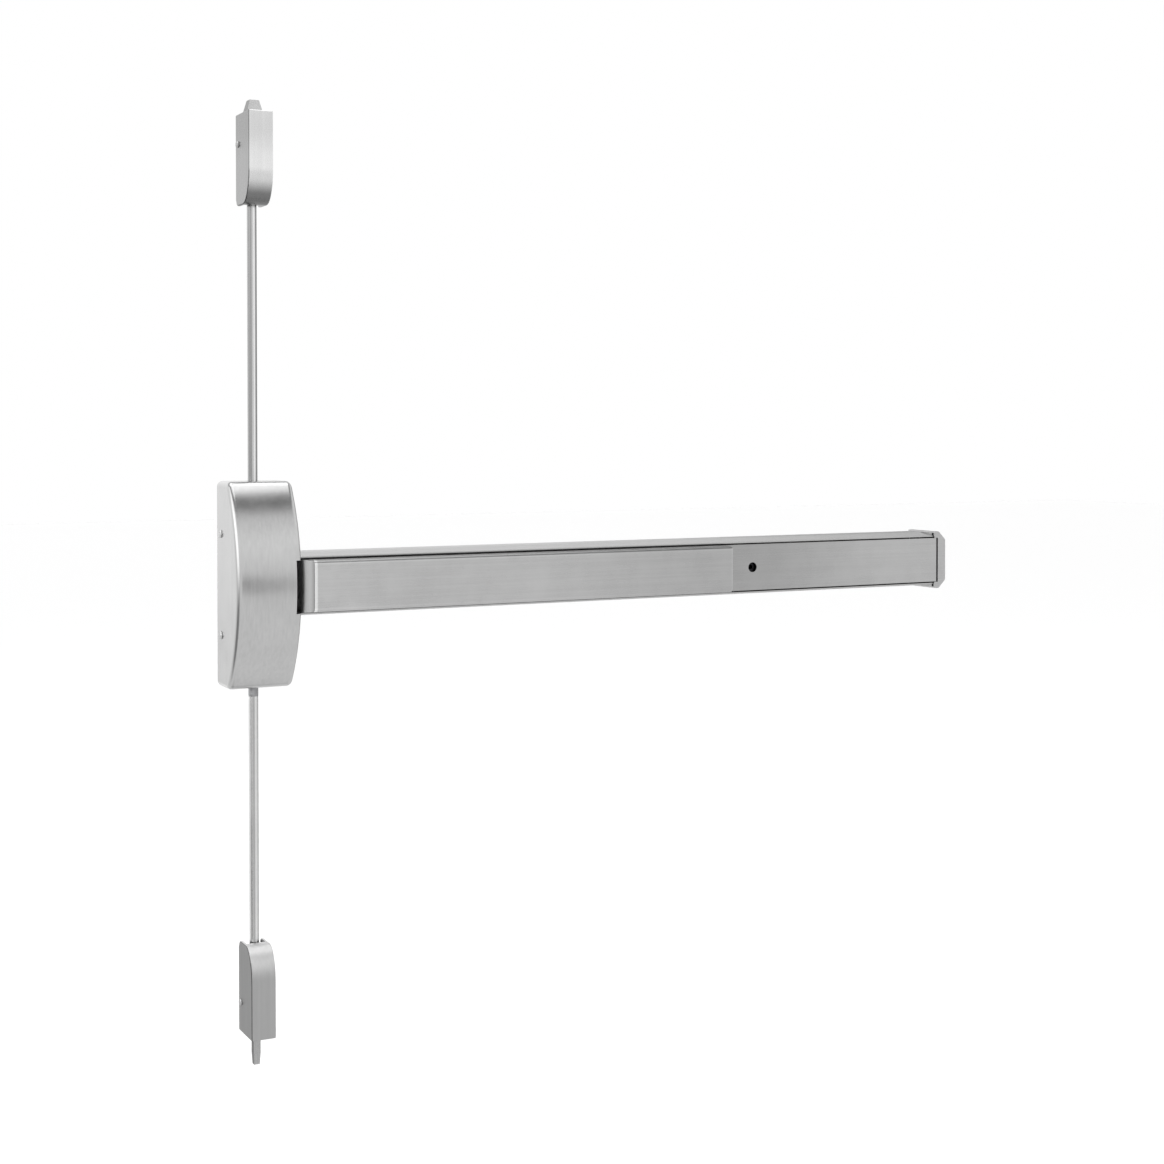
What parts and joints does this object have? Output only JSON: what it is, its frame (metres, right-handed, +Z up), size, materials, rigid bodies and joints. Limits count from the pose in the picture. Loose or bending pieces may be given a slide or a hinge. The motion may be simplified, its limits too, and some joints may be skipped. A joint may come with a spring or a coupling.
{
  "type": "panic exit bar",
  "caption": "Surface vertical rod exit device: a push pad in a long rail turns cranks and levers in an arched case, which draw an upper and a lower latch bolt.",
  "frame": {"origin": "centre of the case's mounting face, on the door's surface", "axes": "+X along the rail away from the case, +Y into the door, +Z up"},
  "size_m": [0.8719, 0.067, 0.958],
  "materials": {
    "satin_metal": "satin, fine brushed grain",
    "bolt_metal": "fine ground",
    "pad_end_metal": "satin, cast and tumbled",
    "screw_metal": "bright turned",
    "pin_metal": "bright turned",
    "zinc_plate": "zinc plated pressed steel",
    "spring_steel": "oiled spring steel",
    "black_oxide": "black oxide"
  },
  "bodies": {
    "device_body": {"case_baseplate": "zinc_plate", "case_cover": "satin_metal", "case_cover_screw_left_upper": "screw_metal", "case_cover_screw_left_lower": "screw_metal", "case_cover_screw_right_upper": "screw_metal", "case_cover_screw_right_lower": "screw_metal", "rail_channel": "satin_metal", "rail_screw_upper": "zinc_plate", "rail_screw_lower": "zinc_plate", "filler_cover": "satin_metal", "rail_end_cap": "satin_metal", "rail_end_bracket": "zinc_plate", "end_cap_screw_upper": "screw_metal", "end_cap_screw_lower": "screw_metal", "lift_lever_post_upper": "zinc_plate", "lift_lever_post_lower": "zinc_plate", "rod_guide_upper": "zinc_plate", "rod_guide_lower": "zinc_plate", "crank_bracket_left": "zinc_plate", "crank_bracket_right": "zinc_plate", "crank_pivot_pin_left": "pin_metal", "crank_pivot_pin_right": "pin_metal", "spring_seat": "zinc_plate", "return_spring": "spring_steel", "dogging_plate": "zinc_plate", "upper_latch_base": "zinc_plate", "upper_latch_cover": "satin_metal", "upper_latch_cover_screw": "screw_metal", "lower_latch_base": "zinc_plate", "lower_latch_cover": "satin_metal", "lower_latch_cover_screw": "screw_metal"},
    "push_pad": {"push_pad_shell": "satin_metal", "push_pad_nose": "pad_end_metal", "push_pad_end_plate": "pad_end_metal", "pad_bracket_left": "zinc_plate", "pad_bracket_right": "zinc_plate"},
    "left_crank": {"bell_crank_left": "zinc_plate", "crank_pad_pin_left": "pin_metal"},
    "right_crank": {"bell_crank_right": "zinc_plate", "crank_pad_pin_right": "pin_metal"},
    "actuator": {"actuator_bar": "zinc_plate", "actuator_peg_upper": "pin_metal", "actuator_peg_lower": "pin_metal", "spring_spindle": "zinc_plate"},
    "upper_lever": {"lift_lever_upper": "zinc_plate"},
    "lower_lever": {"lift_lever_lower": "zinc_plate"},
    "upper_rod_set": {"upper_rod": "satin_metal", "upper_rod_coupling": "zinc_plate", "upper_rod_peg": "pin_metal", "upper_lock_nut": "pin_metal", "upper_latch_bolt": "bolt_metal"},
    "lower_rod_set": {"lower_rod": "satin_metal", "lower_rod_coupling": "zinc_plate", "lower_rod_peg": "pin_metal", "lower_lock_nut": "pin_metal", "lower_latch_bolt": "bolt_metal"},
    "dogging": {"dogging_screw": "black_oxide", "dogging_hook": "zinc_plate"}
  },
  "joints": [
    {"name": "pad_press", "type": "slide", "parent": "device_body", "child": "push_pad", "axis": [0, 1, 0], "range_m": [0, 0.0125], "stiffness_N_per_m": 2200, "springref_m": -0.009},
    {"name": "left_crank_turn", "type": "hinge", "parent": "device_body", "child": "left_crank", "pos_m": [0.125, -0.022, -0.0012], "axis": [0, 0, -1], "range_deg": [0, 33.06]},
    {"name": "right_crank_turn", "type": "hinge", "parent": "device_body", "child": "right_crank", "pos_m": [0.455, -0.022, -0.0012], "axis": [0, 0, -1], "range_deg": [0, 33.06]},
    {"name": "actuator_pull", "type": "slide", "parent": "device_body", "child": "actuator", "axis": [1, 0, 0], "range_m": [0, 0.00855], "deforming": ["return_spring"]},
    {"name": "upper_lever_turn", "type": "hinge", "parent": "device_body", "child": "upper_lever", "pos_m": [0.023, -0.0197, 0.01802], "axis": [0, -1, 0], "range_deg": [0, 33.91]},
    {"name": "lower_lever_turn", "type": "hinge", "parent": "device_body", "child": "lower_lever", "pos_m": [0.023, -0.0197, -0.02042], "axis": [0, 1, 0], "range_deg": [0, 33.91]},
    {"name": "upper_rod_travel", "type": "slide", "parent": "device_body", "child": "upper_rod_set", "axis": [0, 0, -1], "range_m": [0, 0.01402]},
    {"name": "lower_rod_travel", "type": "slide", "parent": "device_body", "child": "lower_rod_set", "axis": [0, 0, 1], "range_m": [0, 0.01402]},
    {"name": "dogging_turn", "type": "hinge", "parent": "device_body", "child": "dogging", "pos_m": [0.565, -0.03, -0.0012], "axis": [0, 1, 0], "range_deg": [0, 90]}
  ],
  "couplings": [
    {"joint": "left_crank_turn", "follows": "pad_press", "rad_per_m": 46.089},
    {"joint": "right_crank_turn", "follows": "pad_press", "rad_per_m": 46.089},
    {"joint": "actuator_pull", "follows": "pad_press", "ratio": 0.68267},
    {"joint": "upper_lever_turn", "follows": "pad_press", "rad_per_m": 47.271},
    {"joint": "lower_lever_turn", "follows": "pad_press", "rad_per_m": 47.271},
    {"joint": "upper_rod_travel", "follows": "pad_press", "ratio": 1.12},
    {"joint": "lower_rod_travel", "follows": "pad_press", "ratio": 1.12}
  ]
}
